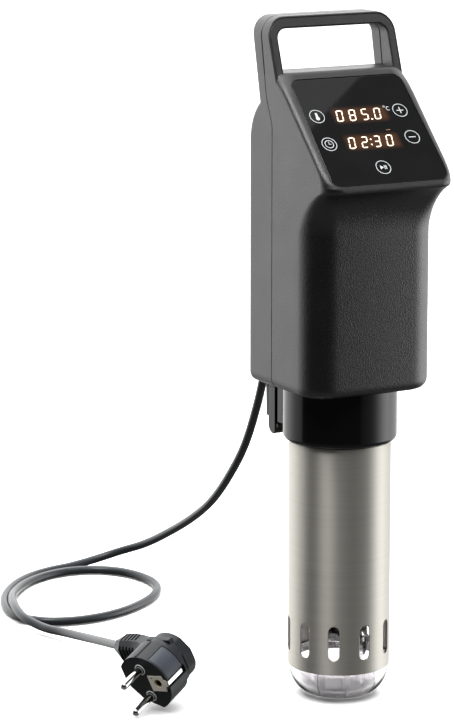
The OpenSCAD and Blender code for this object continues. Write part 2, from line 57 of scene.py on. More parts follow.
def make_camera():
    a, e = radians(-28.68), radians(11.36)
    right = Vector((cos(a), sin(a), 0))
    back = Vector((sin(a) * cos(e), -cos(a) * cos(e), sin(e)))
    up = back.cross(right)
    data = bpy.data.cameras.new("camera")
    data.lens = 170
    data.sensor_width = 36
    data.clip_start, data.clip_end = .1, 60
    cam = place("camera", data)
    turn = Matrix((right, up, back)).transposed().to_4x4()
    cam.matrix_world = Matrix.Translation((-1.0193, -1.7216, .6083)) @ turn
    scene.camera = cam


make_camera()

CORD_D = .0056
# The lead's course in metres, from the strain relief to the plug.
ROUTE = [
    (0, .062, .247), (.003, .084, .218), (.008, .106, .182), (.013, .126, .153),
    (.018, .151, .122), (.023, .182, .094), (.028, .215, .07), (.031, .248, .051),
    (.031, .281, .034), (.027, .309, .02), (.017, .329, .011), (.002, .337, .0054),
    (-.016, .3375, .0028), (-.035, .3335, .0028), (-.054, .3255, .0028), (-.073, .31, .0028),
    (-.0895, .2885, .0028), (-.1, .2655, .0028), (-.104, .244, .0028), (-.1005, .228, .0028),
    (-.0895, .216, .0028), (-.07, .2105, .0028), (-.0475, .213, .0028), (-.025, .223, .0028),
    (-.004, .239, .0028), (.01, .259, .0028), (.014, .28, .0028), (.009, .303, .0028),
    (-.005, .3195, .0028), (-.024, .3255, .0028), (-.044, .322, .0028), (-.0635, .3105, .003),
    (-.082, .289, .0046), (-.0955, .2645, .0076), (-.1055, .238, .009), (-.1085, .217, .0074),
    (-.104, .198, .005), (-.099, .177, .0062), (-.1, .146, .011), (-.105, .11, .018),
    (-.11, .079, .024),
]


def make_cord():
    curve = bpy.data.curves.new("lead", "CURVE")
    curve.dimensions = "3D"
    curve.resolution_u = 10
    curve.bevel_depth = CORD_D / 2
    curve.bevel_resolution = 6
    curve.use_fill_caps = True
    spline = curve.splines.new("BEZIER")
    points = [Vector(p) for p in ROUTE]
    spline.bezier_points.add(len(points) - 1)
    for i, (bezier, p) in enumerate(zip(spline.bezier_points, points)):
        before = points[i - 1] if i else 2 * points[0] - points[1]
        after = points[i + 1] if i < len(points) - 1 else 2 * points[-1] - points[-2]
        bezier.handle_left_type = bezier.handle_right_type = "FREE"
        bezier.co = p
        bezier.handle_left = p - (after - before) / 6
        bezier.handle_right = p + (after - before) / 6
    return place("lead", curve)


# ---------- materials ----------

MATERIALS = {}


def feed(tree, node, inputs):
    """Give each input of a node its value, or a link from another node's output."""
    for key, value in inputs.items():
        if isinstance(value, bpy.types.NodeSocket):
            tree.links.new(value, node.inputs[key])
        else:
            node.inputs[key].default_value = value


def add_node(tree, kind, inputs=None, **settings):
    node = tree.nodes.new("ShaderNode" + kind)
    for key, value in settings.items():
        setattr(node, key, value)
    feed(tree, node, inputs or {})
    return node


def maths(tree, operation, *values):
    return add_node(tree, "Math", dict(enumerate(values)), operation=operation).outputs[0]


def new_material(name):
    mat = bpy.data.materials.new(name)
    mat.use_nodes = True
    MATERIALS[name] = mat
    return mat.node_tree, mat.node_tree.nodes["Principled BSDF"]


def coordinates(tree, scale=(1, 1, 1)):
    """Object coordinates, in metres, times a scale for each axis."""
    place = add_node(tree, "TexCoord")
    return add_node(tree, "Mapping", {"Vector": place.outputs["Object"],
                                      "Scale": scale}).outputs["Vector"]


def noise(tree, vector, scale, detail):
    return add_node(tree, "TexNoise", {"Vector": vector, "Scale": scale,
                                       "Detail": detail}).outputs["Fac"]


def spread(tree, value, low, high):
    """Map a noise value to a range."""
    return add_node(tree, "MapRange", {"Value": value, "From Min": .3, "From Max": .7,
                                       "To Min": low, "To Max": high}).outputs["Result"]


def smooth_step(tree, value, low, high):
    return add_node(tree, "MapRange", {"Value": value, "From Min": low, "From Max": high},
                    interpolation_type="SMOOTHSTEP").outputs["Result"]


def colours(tree, value, dark, light, ends=(.3, .7)):
    ramp = add_node(tree, "ValToRGB", {"Fac": value})
    for stop, position, colour in zip(ramp.color_ramp.elements, ends, (dark, light)):
        stop.position = position
        stop.color = (*colour, 1)
    return ramp.outputs["Color"]


def bump(tree, height, distance):
    return add_node(tree, "Bump", {"Height": height, "Distance": distance}).outputs["Normal"]


def grey(v):
    return (v, v, v)


def finish(name, dark, light, rough, grain=.0006, relief=.00002, stretch=(1, 1, 1), patch=.02,
           metallic=0.0, specular=.5):
    """A surface with a fine grain, slow changes of colour and an uneven gloss."""
    tree, shader = new_material(name)
    vector = coordinates(tree, stretch)
    slow = noise(tree, vector, 1 / patch, 4)
    fine = noise(tree, vector, 1 / grain, 2)
    mixed = maths(tree, "MULTIPLY_ADD", fine, .5, maths(tree, "MULTIPLY", slow, .5))
    feed(tree, shader, {
        "Base Color": colours(tree, slow, dark, light), "Roughness": spread(tree, mixed, *rough),
        "Normal": bump(tree, fine, relief), "Metallic": metallic, "Specular IOR Level": specular})


def make_materials():
    finish("housing_grain", (.0009, .0009, .00095), (.0016, .0016, .00165), (.3, .4),
           grain=.0007, relief=.00022, specular=1.0)
    finish("trim_satin", (.0018, .0018, .0019), (.003, .003, .0031), (.3, .4),
           grain=.0007, relief=.00022, specular=1.0)
    finish("collar_gloss", grey(.0025), grey(.004), (.09, .16), grain=.002, relief=.000008,
           specular=.38)
    finish("clip_satin", grey(.012), grey(.02), (.32, .42), grain=.0008, relief=.00002)
    finish("rubber", grey(.012), grey(.022), (.6, .8), grain=.0004, relief=.00003)
    finish("circuit_board", (.004, .05, .022), (.006, .075, .03), (.35, .5))
    finish("digit_module", (.03, .03, .03), (.05, .05, .05), (.3, .45))
    finish("spring_steel", grey(.45), grey(.55), (.22, .35), metallic=1, relief=.000005)
    finish("black_moulding", grey(.015), grey(.025), (.35, .5))
    finish("relay_case", (.02, .09, .35), (.03, .12, .42), (.3, .4))
    finish("capacitor_case", (.55, .38, .06), (.65, .45, .08), (.3, .4))
    finish("heatsink_aluminium", grey(.5), grey(.62), (.35, .5), metallic=1, relief=.00001)
    finish("terminal_green", (.02, .2, .09), (.03, .26, .12), (.35, .5))
    finish("laminated_steel", grey(.25), grey(.38), (.4, .6), stretch=(1, 1, 30), metallic=1)
    finish("coil_tape", (.32, .04, .01), (.42, .07, .02), (.3, .5))
    finish("plated_steel", grey(.55), grey(.68), (.25, .38), metallic=1, relief=.000008)
    finish("sintered_bronze", (.42, .27, .1), (.5, .33, .14), (.4, .55), metallic=1)
    finish("shaft_steel", grey(.6), grey(.7), (.12, .22), stretch=(1, 1, 8), metallic=1,
           relief=.000003)
    finish("white_moulding", (.68, .67, .63), (.78, .77, .73), (.35, .5))
    finish("heater_tube", (.32, .31, .3), (.5, .48, .45), (.2, .36), metallic=1,
           patch=.012, relief=.000008)
    finish("terminal_brass", (.6, .42, .14), (.7, .5, .2), (.25, .4), metallic=1)
    finish("cord_pvc", (.016, .019, .0215), (.026, .030, .033), (.26, .34), grain=.0012,
           relief=.00001, specular=.5)
    finish("plug_pvc", (.008, .0095, .011), (.013, .015, .0175), (.36, .48), grain=.0007,
           relief=.00003, specular=.3)
    # The grip panel's lighter blue-grey colour is a painted sheen: it stands in for the reflected
    # sky.
    finish("plug_recess_painted_sheen", (.022, .026, .036), (.034, .04, .052), (.36, .46), grain=.0009,
           specular=.5)
    finish("earth_plate", (.84, .8, .68), (.92, .88, .77), (.4, .55), grain=.001)
    finish("ring_plastic", (.72, .73, .74), (.82, .83, .84), (.4, .5), grain=.001)
    finish("pin_chrome", grey(.72), grey(.8), (.06, .14), metallic=1, relief=.000002)


def brushed_steel():
    """Drawn steel with fine lines around the tube."""
    tree, shader = new_material("brushed_tube")
    lines = noise(tree, coordinates(tree, (20, 20, 2400)), 1, 4)
    bands = noise(tree, coordinates(tree, (6, 6, 420)), 1, 3)
    mixed = maths(tree, "MULTIPLY", maths(tree, "ADD", lines, bands), .5)
    tangent = add_node(tree, "Tangent", direction_type="RADIAL", axis="Z")
    feed(tree, shader, {
        "Base Color": colours(tree, mixed, (.56, .54, .495), (.64, .62, .57)),
        "Roughness": spread(tree, mixed, .54, .62), "Normal": bump(tree, lines, .000006),
        "Tangent": tangent.outputs[0], "Anisotropic": .9, "Anisotropic Rotation": .25,
        "Metallic": 1})


def clear_plastic():
    tree, shader = new_material("clear_cap")
    vector = coordinates(tree)
    fine, slow = noise(tree, vector, 900, 2), noise(tree, vector, 60, 3)
    feed(tree, shader, {
        "Base Color": colours(tree, slow, (.8, .79, .8), (.86, .85, .86)),
        "Roughness": spread(tree, fine, .02, .07), "Normal": bump(tree, slow, .00001),
        "Transmission Weight": 1, "IOR": 1.58})


def display_black():
    tree, shader = new_material("display_black")
    slow = noise(tree, coordinates(tree), 45, 3)
    feed(tree, shader, {"Base Color": colours(tree, slow, grey(.006), grey(.0075)),
                        "Roughness": spread(tree, slow, .02, .035), "Specular IOR Level": .5})


def printed(name, colour, glow):
    """A lit or printed mark behind the glass, a little uneven."""
    tree, shader = new_material(name)
    slow = noise(tree, coordinates(tree), 260, 2)
    tint = colours(tree, slow, tuple(c * .86 for c in colour), colour)
    feed(tree, shader, {"Base Color": tint, "Emission Color": tint, "Emission Strength": glow,
                        "Roughness": .1})


def glow_window():
    """The faint light of the lamps around the digits, fading to the edges."""
    tree, shader = new_material("digit_glow")
    place = add_node(tree, "TexCoord")
    split = add_node(tree, "SeparateXYZ", {0: place.outputs["Generated"]})
    masks = [smooth_step(tree, maths(tree, "PINGPONG", split.outputs[axis], .5), 0, soft)
             for axis, soft in (("X", .12), ("Y", .3))]
    lit = maths(tree, "MULTIPLY", *masks)
    feed(tree, shader, {
        "Base Color": colours(tree, lit, (.0065, .0065, .0068), (.034, .016, .009), (0, 1)),
        "Emission Color": colours(tree, lit, grey(0), (.020, .009, .004), (0, 1)),
        "Emission Strength": 1, "Roughness": .07})


make_materials()
brushed_steel()
clear_plastic()
display_black()
printed("mark_white", (.40, .42, .43), .45)
printed("mark_amber", (.95, .79, .6), .85)
printed("mark_dim", (.2, .1, .06), .5)
glow_window()


# ---------- mesh helpers ----------

def make_mesh(name, verts, faces, merge=1e-4):
    """A smooth mesh from millimetre points, with doubled points merged and normals outwards."""
    bm = bmesh.new()
    made = [bm.verts.new(Vector(v)) for v in verts]
    for f in faces:
        try:
            bm.faces.new([made[i] for i in f])
        except ValueError:
            pass
    bmesh.ops.remove_doubles(bm, verts=bm.verts, dist=merge)
    bmesh.ops.dissolve_degenerate(bm, edges=bm.edges, dist=1e-5)
    bmesh.ops.recalc_face_normals(bm, faces=bm.faces)
    bmesh.ops.scale(bm, vec=(MM, MM, MM), verts=bm.verts)
    mesh = bpy.data.meshes.new(name)
    bm.to_mesh(mesh)
    bm.free()
    mesh.shade_smooth()
    return place(name, mesh)


def grid_faces(rows, cols, wrap_cols=False):
    faces = []
    for i in range(rows - 1):
        for j in range(cols if wrap_cols else cols - 1):
            k, m = i + 1, (j + 1) % cols
            faces.append((i * cols + j, i * cols + m, k * cols + m, k * cols + j))
    return faces


def bake(obj):
    """Turn the object's modifiers into its mesh."""
    graph = bpy.context.evaluated_depsgraph_get()
    mesh = bpy.data.meshes.new_from_object(obj.evaluated_get(graph))
    obj.modifiers.clear()
    old = obj.data
    obj.data = mesh
    bpy.data.meshes.remove(old)
    return obj


def modify(obj, kind, **values):
    m = obj.modifiers.new(kind.lower(), kind)
    for key, value in values.items():
        setattr(m, key, value)
    return m


def combine(obj, *tools, operation="DIFFERENCE"):
    """Cut the tools from the object, or join them to it, and remove them."""
    for tool in tools:
        modify(obj, "BOOLEAN", object=tool, operation=operation, solver="EXACT")
        bake(obj)
        bpy.data.objects.remove(tool)
    return obj


def absorb(obj, *others):
    """Add the meshes of other objects to this one, each as a closed part of its own."""
    bm = bmesh.new()
    for source in (obj, *others):
        bm.from_mesh(source.data)
    bm.to_mesh(obj.data)
    bm.free()
    for other in others:
        bpy.data.objects.remove(other)
    return obj


def soften(obj, width, segments=2, angle=40):
    """Round the sharp edges."""
    modify(obj, "BEVEL", width=width * MM, segments=segments, limit_method="ANGLE",
           angle_limit=radians(angle), use_clamp_overlap=True)
    return bake(obj)


def even_shading(obj, angle):
    obj.data.shade_smooth()
    obj.data.set_sharp_from_angle(angle=radians(angle))
    modify(obj, "WEIGHTED_NORMAL", keep_sharp=True)
    return obj


def lathe(name, profile, steps=96, closed=True):
    """Turn an (r, z) outline about the Z axis."""
    verts, n = [], len(profile)
    for i in range(steps):
        a = 2 * pi * i / steps
        verts += [(r * cos(a), r * sin(a), z) for r, z in profile]
    faces = []
    for i in range(steps):
        for j in range(n if closed else n - 1):
            k = (j + 1) % n
            f = (i * n + j, ((i + 1) % steps) * n + j, ((i + 1) % steps) * n + k, i * n + k)
            faces.append(f)
    return make_mesh(name, verts, faces)


def loft(name, rings, merge=1e-4):
    """Join closed rings of points, and close both ends."""
    n, last = len(rings[0]), (len(rings) - 1) * len(rings[0])
    faces = grid_faces(len(rings), n, wrap_cols=True)
    faces += [tuple(range(n)), tuple(range(last, last + n))]
    return make_mesh(name, [p for ring in rings for p in ring], faces, merge)


def prism(name, outline, low, high, turn=None):
    """Extrude a flat outline from low to high along its normal, then turn it into place."""
    n = len(outline)
    verts = [Vector((x, y, h)) for h in (low, high) for x, y in outline]
    if turn is not None:
        verts = [turn @ v for v in verts]
    faces = [tuple(range(n)), tuple(range(n, 2 * n))]
    faces += [(i, (i + 1) % n, n + (i + 1) % n, n + i) for i in range(n)]
    return make_mesh(name, verts, faces)


def arc(cx, cy, r, a0, a1, n):
    out = []
    for i in range(n + 1):
        a = radians(a0 + (a1 - a0) * i / n)
        out.append((cx + r * cos(a), cy + r * sin(a)))
    return out


def circle(r, n, cx=0, cy=0):
    return arc(cx, cy, r, 0, 360 * (n - 1) / n, n - 1)


def rounded(points, radii, n=6):
    """A polygon with each corner rounded by its own radius."""
    out, count = [], len(points)
    for i, p in enumerate(points):
        p = Vector(p)
        r = radii[i] if hasattr(radii, "__len__") else radii
        a = (Vector(points[i - 1]) - p).normalized()
        b = (Vector(points[(i + 1) % count]) - p).normalized()
        if r <= 0:
            out.append(tuple(p))
            continue
        half = a.angle(b) / 2
        centre = p + (a + b).normalized() * (r / sin(half))
        start = p + a * (r / tan(half)) - centre
        end = p + b * (r / tan(half)) - centre
        a0 = atan2(start.y, start.x)
        sweep = atan2(end.y, end.x) - a0
        sweep = (sweep + pi) % (2 * pi) - pi
        for k in range(n + 1):
            t = a0 + sweep * k / n
            out.append((centre.x + r * cos(t), centre.y + r * sin(t)))
    return out


def between(x, table):
    """Linear interpolation in a table of (x, value) pairs."""
    return float(np.interp(x, *zip(*table)))


ALONG_X = Matrix(((0, 0, 1), (1, 0, 0), (0, 1, 0)))
ALONG_Y = Matrix(((1, 0, 0), (0, 0, 1), (0, 1, 0)))


def rod(name, r, low, high, where, axis=ALONG_Y, n=32):
    """A cylinder cutter or post along an axis, at a place."""
    obj = prism(name, circle(r, n), low, high, axis)
    obj.data.transform(Matrix.Translation(Vector(where) * MM))
    return obj


def dress(obj, material, angle):
    """Give an object its finish, with crisp edges where faces turn by more than the angle."""
    obj.data.materials.clear()
    obj.data.materials.append(MATERIALS[material])
    if angle:
        even_shading(obj, angle)


def piece(obj, body, slot, material, *nodes, angle=35):
    """Name the body, the finish and the CAD nodes that a new piece stands for."""
    dress(obj, material, angle)
    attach(obj, body)
    if nodes:
        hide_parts(*nodes)
    return obj


# ---------- housing ----------

HALF_W, FLOOR_Z = 43.5, 192
FRONT_Y, REAR_Y = -41.5, 37
SEAM = [(180, 7), (350, 7), (366, 14), (413, 22), (430, 23)]
FRONT_RADII = [(289, 18), (302.5, 14.8), (316.2, 11), (320.9, 9.6), (323.5, 7), (327, 5.5),
               (331, 4.8), (367, 4.8), (371.5, 5.6), (374.5, 7), (377.5, 9.2), (381, 11)]
REAR_RADII = [(364, 5), (379, 4)]
CROWN = [(285, 2.5), (316, 0)]
FILLET, REAR_FILLET = 6.4, 1.8
HOLE_R = 34.75
SEAM_GAP = .35
SIDE_STEPS, CORNER_STEPS, FACE_STEPS = 6, 12, 14


def fillet_levels(edge, sign):
    """Levels of the rounding under the side walls. The rear wall has a smaller one."""
    out = []
    for i in range(9):
        t = radians(90 * i / 8)
        side, height = FILLET * (1 - sin(t)), FILLET * (1 - cos(t))
        rise = max(0, REAR_FILLET - height)
        inset = side if sign < 0 else REAR_FILLET - sqrt(REAR_FILLET ** 2 - rise ** 2)
        out.append((FLOOR_Z + height, edge - sign * inset, side))
    return out


def front_levels():
    """Height, front edge and inset of each level of the front half, from the floor up."""
    out = fillet_levels(FRONT_Y, -1)
    out += [(199 + 90 * i / 14, FRONT_Y, 0) for i in range(15)]
    out += [(z, y, 0) for y, z in arc(FRONT_Y - 30.7, 289, 30.7, 3, 62.3, 16)]
    out += [(z, y, 0) for y, z in arc(-56.55, 318.8, 3, 242.3, 135, 8)[1:]]
    for low, rise in ((320.9, 10.1), (331, 36), (367, 11.6)):
        out += [(z, z - 379.6, 0) for z in [low + rise * i / 8 for i in range(1, 9)]]
    out += [(z, y, 0) for y, z in arc(3.06, 377, 4, 135, 90, 5)]
    return out


def rear_levels():
    out = fillet_levels(REAR_Y, 1)
    out += [(199 + 139 * i / 16, REAR_Y, 0) for i in range(17)]
    out += [(z, y, 0) for y, z in arc(7, 338, 30, 5, 60, 11)]
    out += [(364 + 15 * i / 4, 22, 0) for i in range(1, 5)]
    out += [(z, y, 0) for y, z in arc(20, 379, 2, 18, 90, 4)]
    return out


def half_plan(w, edge, radius, seam, sign, lean=0.0):
    """Plan outline of one half from its left seam to its right seam. The face is a little
    convex: lean is its angle at the corners, in degrees."""
    start = edge - sign * radius
    left = [(-w, seam + (start - seam) * i / SIDE_STEPS) for i in range(SIDE_STEPS)]
    left += arc(-w + radius, start, radius, 180, 180 - sign * (90 - lean), CORNER_STEPS)
    x0, y0 = left[-1]
    crown = -x0 * tan(radians(lean)) / 2
    face = []
    for i in range(1, FACE_STEPS):
        t = 2 * i / FACE_STEPS - 1
        face.append((-x0 * t, y0 + sign * crown * (1 - t * t)))
    return left + face + [(-x, y) for x, y in reversed(left)]


def half_shell(name, sign):
    """One half of the moulded head as a shell, closed at the seam, open at the collar."""
    levels = front_levels() if sign < 0 else rear_levels()
    radii = FRONT_RADII if sign < 0 else REAR_RADII
    near = FRONT_Y if sign < 0 else REAR_Y
    rows = []
    for z, edge, side in levels:
        if z > 379:
            side = 2 - sqrt(max(0, 4 - (z - 379) ** 2))
        radius = max(between(z, radii) - abs(abs(edge) - abs(near)) * (z < 199), 2)
        seam = between(z, SEAM) + sign * SEAM_GAP
        lean = between(z, CROWN) if sign < 0 else 0
        outline = half_plan(HALF_W - side, edge, radius, seam, sign, lean)
        rows.append([(x, y, z) for x, y in outline])
    cols = len(rows[0])
    seam = SEAM[0][1] + sign * SEAM_GAP
    tilt = degrees(asin(seam / HOLE_R))
    ends = (180 - tilt, 360 + tilt) if sign < 0 else (180 - tilt, tilt)
    hole = [(x, y, FLOOR_Z) for x, y in arc(0, 0, HOLE_R, *ends, cols - 1)]
    floor = [[tuple(Vector(a).lerp(Vector(b), k / 3)) for a, b in zip(hole, rows[0])]
             for k in range(3)]
    rows = floor + rows
    verts = [v for row in rows for v in row]
    faces = grid_faces(len(rows), cols)
    top = (len(rows) - 1) * cols
    faces.append(tuple(range(top, top + cols)))
    obj = make_mesh(name, verts, faces)
    if sum((p.normal.z for p in obj.data.polygons if p.center.z < .1925)) > 0:
        obj.data.flip_normals()
    modify(obj, "SOLIDIFY", thickness=1.6 * MM, offset=-1)
    return bake(obj)


# The handle is a loop; its section runs from the inner edge to the outer edge.
ARCH_OUT, ARCH_IN = (HALF_W - .005, 413, 12), (37.5, 405.8, 6)
LEG_FOOT, TRIM_Z = 362, 371


def arch_line(w, top, r, low):
    """Outline of the loop from the left foot to the right foot, always with as many points."""
    out = [(-w, low), (-w, low + 1)]
    out += [(-w, low + (top - r - low) * t) for t in (.25, .5, .75)]
    out += arc(-w + r, top - r, r, 180, 90, 12)
    out += [(-w + r + 2 * (w - r) * i / 10, top) for i in range(1, 10)]
    return out + [(-x, z) for x, z in reversed(out[:-9])]


def handle_front_y(z):
    return 2.5 + (z - 376.5) * .346


def handle_rear_y(z):
    return 23.3 + (z - 366) * 9 / 42


def loop_body(name, section, low):
    """Sweep a section around the loop. The section gives (share or margin, depth) points."""
    outer, inner = arch_line(*ARCH_OUT, low), arch_line(*ARCH_IN, low)
    rows = []
    for o, i in zip(outer, inner):
        width = dist(o, i)
        row = []
        for edge, margin, face, depth in section(o[1]):
            t = margin / width if edge == "in" else 1 - margin / width
            x = i[0] + (o[0] - i[0]) * t
            z = i[1] + (o[1] - i[1]) * t
            y = {"front": handle_front_y(z), "rear": handle_rear_y(z),
                 "seam": between(z, SEAM)}[face] + depth
            row.append((x, y, z))
        rows.append(row)
    return loft(name, rows, merge=1e-5)


def edge_round(edge, face, r, into, n=4):
    """Section points of a rounded edge. It runs from the side to the face, or back."""
    out = []
    for i in range(n + 1):
        a = radians(90 * i / n)
        out.append((edge, r * (1 - sin(a)), face, into * r * (1 - cos(a))))
    return out


def half_section(face, sign, out_r, in_r, middle=()):
    """Section of one half of the handle, from the seam around its face to the seam again."""
    start = [("out", .3, "seam", .3 * sign), ("out", 0, "seam", .6 * sign)]
    end = [("in", 0, "seam", .6 * sign), ("in", .3, "seam", .3 * sign)]
    return (start + edge_round("out", face, out_r, -sign)[::-1] + list(middle)
            + edge_round("in", face, in_r, -sign) + end)


def front_section(z):
    """The front half has a groove for the inlay."""
    deep = 1.3 if z >= TRIM_Z else .02
    return half_section("front", -1, .75, .42, [
        ("out", .9, "front", 0), ("out", .95, "front", deep),
        ("in", .5, "front", deep), ("in", .46, "front", 0)])


def rear_section(z):
    return half_section("rear", 1, 1.6, 1.4)


def trim_section(z):
    def rim(edge, margin):
        return [(edge, margin + m, "front", .1 + d)
                for _, m, _, d in edge_round(edge, "front", .35, 1, 3)]

    return ([("out", 1.2, "front", 1.25)] + rim("out", 1.2)[::-1] + rim("in", .8)
            + [("in", .8, "front", 1.25)])


SLOPE = Matrix.Translation((0, -30.5, 349.1)) @ Matrix.Rotation(radians(45), 4, "X")
GLASS_LOW, GLASS_HIGH = -39.2, 39.6
GLASS_CORNERS = [(-39.3, GLASS_LOW), (39.3, GLASS_LOW), (37.3, GLASS_HIGH), (-37.3, GLASS_HIGH)]


def grown(points, by):
    """A rectangle-like outline moved outwards."""
    return [(x + copysign(by, x), y + copysign(by, y)) for x, y in points]


def make_housing():
    front = half_shell("front_shell", -1)
    pocket = prism("pocket", rounded(grown(GLASS_CORNERS, .4), 6.4, 8), -2.9, 6, SLOPE)
    combine(front, pocket)
    soften(front, .3, 2, 42)
    absorb(front, loop_body("front_loop", front_section, LEG_FOOT))
    piece(front, "head", "housing_plastic", "housing_grain", "front_housing")

    rear = half_shell("rear_shell", 1)
    posts, holes = [], []
    for x in (-36, 36):
        for z in (206, 268, 330):
            posts.append(rod("post", 4.6, 12, 36, (x, 0, z)))
            holes.append(rod("hole", 3.2, 10.5, 40, (x, 0, z)))
    holes.append(rod("gland_hole", 6.1, 30, 40, (0, 0, 262)))
    combine(rear, *posts, operation="UNION")
    combine(rear, *holes)
    soften(rear, .3, 2, 42)
    absorb(rear, loop_body("rear_loop", rear_section, LEG_FOOT))
    piece(rear, "head", "housing_plastic", "housing_grain", "rear_cover")

    trim = loop_body("handle_inlay", trim_section, TRIM_Z + .4)
    piece(trim, "head", "trim_plastic", "trim_satin", "handle_trim")


make_housing()


# ---------- display ----------

def on_slope(x, y, h):
    return SLOPE @ Vector((x, y, h))


GLASS_TOP = -.2
MARK_LIFT = .03


def lay_on_glass(obj, material):
    """Turn a flat mesh so that it faces outwards, and make it a piece of the display."""
    if obj.data.polygons[0].normal.z < 0:
        obj.data.flip_normals()
    piece(obj, "head", "display_glass", material, angle=None)


class Marks:
    """Flat printed marks, gathered into one mesh on the glass."""

    def __init__(self):
        self.verts, self.faces = [], []

    def place(self, points):
        start = len(self.verts)
        self.verts += [on_slope(x, y, GLASS_TOP + MARK_LIFT) for x, y in points]
        return tuple(range(start, len(self.verts)))

    def polygon(self, points):
        self.faces.append(self.place(points))

    def band(self, outer, inner, closed=True):
        a, b = self.place(outer), self.place(inner)
        for i in range(len(a) if closed else len(a) - 1):
            k = (i + 1) % len(a)
            self.faces.append((a[i], a[k], b[k], b[i]))

    def ring(self, cx, cy, r, width, n=48):
        self.band(circle(r, n, cx, cy), circle(r - width, n, cx, cy))

    def stroke(self, x0, y0, x1, y1, width):
        a, b = Vector((x0, y0)), Vector((x1, y1))
        d = (b - a).normalized() * (width / 2)
        s = Vector((-d.y, d.x))
        self.polygon([a + s, a - s, b - s, b + s])

    def build(self, name, material):
        lay_on_glass(make_mesh(name, self.verts, self.faces, merge=1e-6), material)


LINE = .42
RING_R = 4.85


def make_icons():
    m = Marks()
    for x, y in ((-29.7, 12.3), (26.9, 12.7), (-29.8, -8.2), (26.9, -7.3), (-1.4, -27.5)):
        m.ring(x, y, RING_R, LINE)
    # thermometer
    x, y = -29.7, 12.3
    m.polygon(circle(1.3, 20, x, y - 1.5))
    m.polygon([(x - .75, y - .5), (x + .75, y - .5), (x + .75, y + 2), (x + .5, y + 2.6),
               (x - .5, y + 2.6), (x - .75, y + 2)])
    # clock
    x, y = -29.8, -8.2
    m.ring(x, y, 2.9, .45)
    m.stroke(x, y - .2, x, y + 1.9, .4)
    m.stroke(x - .1, y, x + 1.4, y - .1, .4)
    # plus, minus
    m.stroke(24.6, 12.7, 29.2, 12.7, .6)
    m.stroke(26.9, 10.4, 26.9, 15.0, .6)
    m.stroke(24.6, -7.3, 29.2, -7.3, .6)
    # play and pause
    x, y = -1.4, -27.5
    m.polygon([(x - 2.0, y - 1.5), (x + .3, y), (x - 2.0, y + 1.5)])
    m.stroke(x + .95, y - 1.4, x + .95, y + 1.4, .55)
    m.stroke(x + 2.0, y - 1.4, x + 2.0, y + 1.4, .55)
    # degree sign and C
    m.ring(17.2, 16.2, .65, .3, 20)
    outer, inner = (arc(19.5, 14.6, r, 55, 305, 16) for r in (1.45, 1.45 - .4))
    m.band(outer, inner, closed=False)
    m.build("key_marks", "mark_white")


SEGMENTS = {"0": "abcdef", "2": "abged", "3": "abgcd", "5": "afgcd", "8": "abcdefg"}
DIGIT_W, DIGIT_H, DIGIT_PITCH, SLANT = 4.4, 8.3, 8.5, tan(radians(11))
DIGIT_X, BAR, DOT_R = -17.7, .74, .55


def digit(m, symbol, x, y):
    """A seven-segment figure with its lower left corner at x, y."""
    w, h, t = DIGIT_W, DIGIT_H, BAR
    mid, gap = h / 2, .22
    left, right, foot, head = t / 2, w - t / 2, t * .6, h - t * .6
    bars = {"a": (t, h - t / 2, w - t, h - t / 2), "g": (t, mid, w - t, mid),
            "d": (t, t / 2, w - t, t / 2), "f": (left, mid + gap, left, head),
            "e": (left, foot, left, mid - gap), "b": (right, mid + gap, right, head),
            "c": (right, foot, right, mid - gap)}
    for name in SEGMENTS[symbol]:
        a, b = Vector(bars[name][:2]), Vector(bars[name][2:])
        along = (b - a).normalized()
        across = Vector((-along.y, along.x)) * t / 2
        cut = along * t * .45
        shape = [a - cut * .2, a + cut + across, b - cut + across, b + cut * .2,
                 b - cut - across, a + cut - across]
        m.polygon([(x + p.x + SLANT * p.y, y + p.y) for p in shape])


def make_digits():
    m = Marks()
    upper, lower = 7.3, -12.8
    for k, symbol in enumerate("0850"):
        digit(m, symbol, DIGIT_X + DIGIT_PITCH * k, upper)
    m.polygon(circle(DOT_R, 16, DIGIT_X + DIGIT_PITCH * 3 - 2.0, 7.7))
    for k, symbol in enumerate("0230"):
        digit(m, symbol, DIGIT_X + DIGIT_PITCH * k, lower)
    for y in (-10.6, -6.8):
        m.polygon(circle(DOT_R, 16, DIGIT_X + DIGIT_PITCH * 2 - 1.8 + SLANT * (y - lower), y))
    m.build("digits_lit", "mark_amber")
    m = Marks()
    m.stroke(11.6, -.83, 14.5, -.83, .45)
    m.build("level_bar", "mark_dim")


def make_display():
    glass = prism("touch_glass", rounded(GLASS_CORNERS, 6, 10), GLASS_TOP - 2, GLASS_TOP, SLOPE)
    soften(glass, .35, 3, 50)
    piece(glass, "head", "display_glass", "display_black", "display_glass")
    for name, low, high in (("glow_upper", 4.6, 18.6), ("glow_lower", -15.4, -1.6)):
        cols, rows, verts = 9, 5, []
        for i in range(rows):
            for j in range(cols):
                verts.append(on_slope(-20.5 + 40 * j / 8, low + (high - low) * i / 4,
                                      GLASS_TOP + MARK_LIFT / 2))
        lay_on_glass(make_mesh(name, verts, grid_faces(rows, cols)), "digit_glow")
    make_icons()
    make_digits()


make_display()


# ---------- steel sleeve ----------

TUBE_R, TUBE_IN, RIM_Z, TUBE_TOP = 31, 30.2, 19, 178.5
SLOT_W, SLOT_L, SLOT_Z = 6.8, 21.4, 38.4


def slot_loop(grow):
    """Points of a slot's outline in (width, height), from the top edge's left, clockwise."""
    half, r = (SLOT_L - SLOT_W) / 2, SLOT_W / 2 + grow
    out = arc(0, half, r, 180, 0, 12)[:-1]
    out += [(r, half - 2 * half * i / 12) for i in range(12)]
    out += arc(0, -half, r, 0, -180, 12)[:-1]
    out += [(-r, -half + 2 * half * i / 12) for i in range(12)]
    return out


PANEL_LOW, PANEL_HIGH = 24, 53


